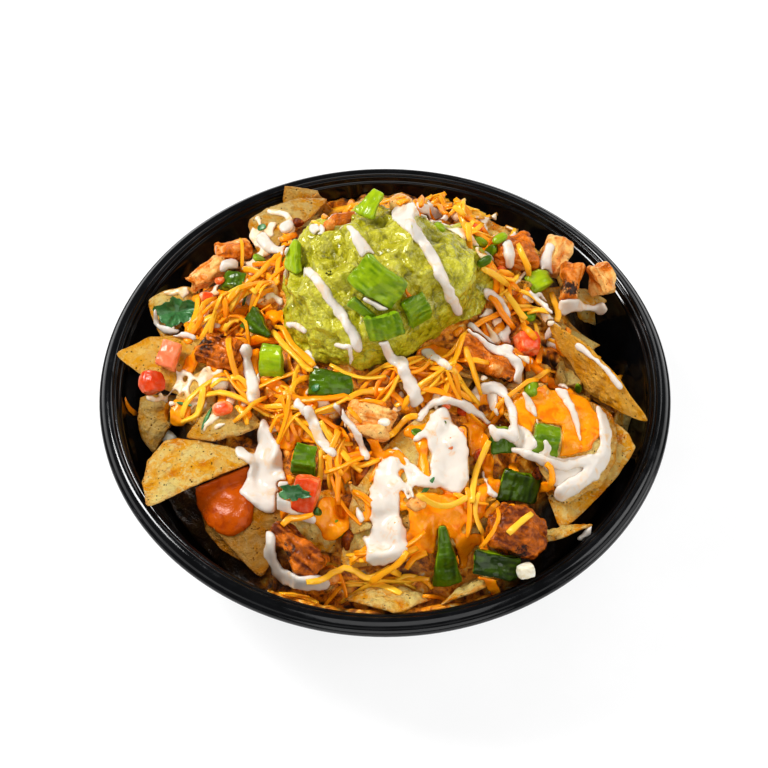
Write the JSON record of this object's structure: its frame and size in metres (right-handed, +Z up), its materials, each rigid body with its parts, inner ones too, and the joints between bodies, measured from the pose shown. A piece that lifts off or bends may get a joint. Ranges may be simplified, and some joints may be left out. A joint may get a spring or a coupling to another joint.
{
  "type": "nachos",
  "caption": "Tortilla chips heaped in a round black bowl with chicken, cheese, cream, diced vegetables and a scoop of guacamole.",
  "frame": {"origin": "middle of the bowl's flat underside, on the surface that it stands on", "axes": "+Z up out of the bowl, +X to the right of a person who eats from it, -Y towards that person"},
  "size_m": [0.24, 0.24, 0.1357],
  "materials": {
    "black_plastic": "glossy black plastic",
    "cheese_and_cream": "shredded and melted orange cheese with white cream",
    "guacamole": "wet, chunky green",
    "tortilla_chip": "dry fried corn, golden with darker specks",
    "chicken": "grilled, brown with charred spots",
    "green_pepper": "wet green skin and paler flesh",
    "tomato": "wet red",
    "onion": "wet translucent white",
    "cilantro": "soft green leaf"
  },
  "bodies": {
    "root": {"bowl": "black_plastic", "chicken_back_charred": "chicken", "chicken_back_pale": "chicken", "chicken_behind_cream": "chicken", "chicken_edge_middle": "chicken", "chicken_edge_right": "chicken", "chicken_edge_tall": "chicken", "chicken_front_charred": "chicken", "chicken_front_right": "chicken", "chicken_left_charred": "chicken", "chicken_middle_pale": "chicken", "chicken_right_charred": "chicken", "chip_back_far": "tortilla_chip", "chip_back_left": "tortilla_chip", "chip_back_middle": "tortilla_chip", "chip_bottom_right": "tortilla_chip", "chip_center": "tortilla_chip", "chip_center_low": "tortilla_chip", "chip_cream_point": "tortilla_chip", "chip_curve": "tortilla_chip", "chip_front_left": "tortilla_chip", "chip_front_right": "tortilla_chip", "chip_left_big": "tortilla_chip", "chip_left_cheese": "tortilla_chip", "chip_left_leaf": "tortilla_chip", "chip_left_low": "tortilla_chip", "chip_left_mid": "tortilla_chip", "chip_left_point": "tortilla_chip", "chip_right": "tortilla_chip", "chip_right_dark": "tortilla_chip", "chip_right_edge": "tortilla_chip", "chip_ring": "tortilla_chip", "chip_sauce_dark": "tortilla_chip", "chip_sauce_low": "tortilla_chip", "guacamole": "guacamole", "heap": "cheese_and_cream", "leaf_left": "cilantro", "leaf_middle": "cilantro", "onion_front": "onion", "pepper_back": "green_pepper", "pepper_creamy": "green_pepper", "pepper_edge_bright": "green_pepper", "pepper_front_block": "green_pepper", "pepper_front_long": "green_pepper", "pepper_left_dark": "green_pepper", "pepper_left_high": "green_pepper", "pepper_left_point": "green_pepper", "pepper_left_tall": "green_pepper", "pepper_left_triangle": "green_pepper", "pepper_middle_ring": "green_pepper", "pepper_right_wide": "green_pepper", "pepper_ring_piece": "green_pepper", "pepper_top_large": "green_pepper", "pepper_top_low": "green_pepper", "pepper_top_right": "green_pepper", "pepper_top_wedge": "green_pepper", "tomato_front": "tomato", "tomato_left_edge": "tomato", "tomato_left_large": "tomato", "tomato_right": "tomato"}
  },
  "joints": []
}
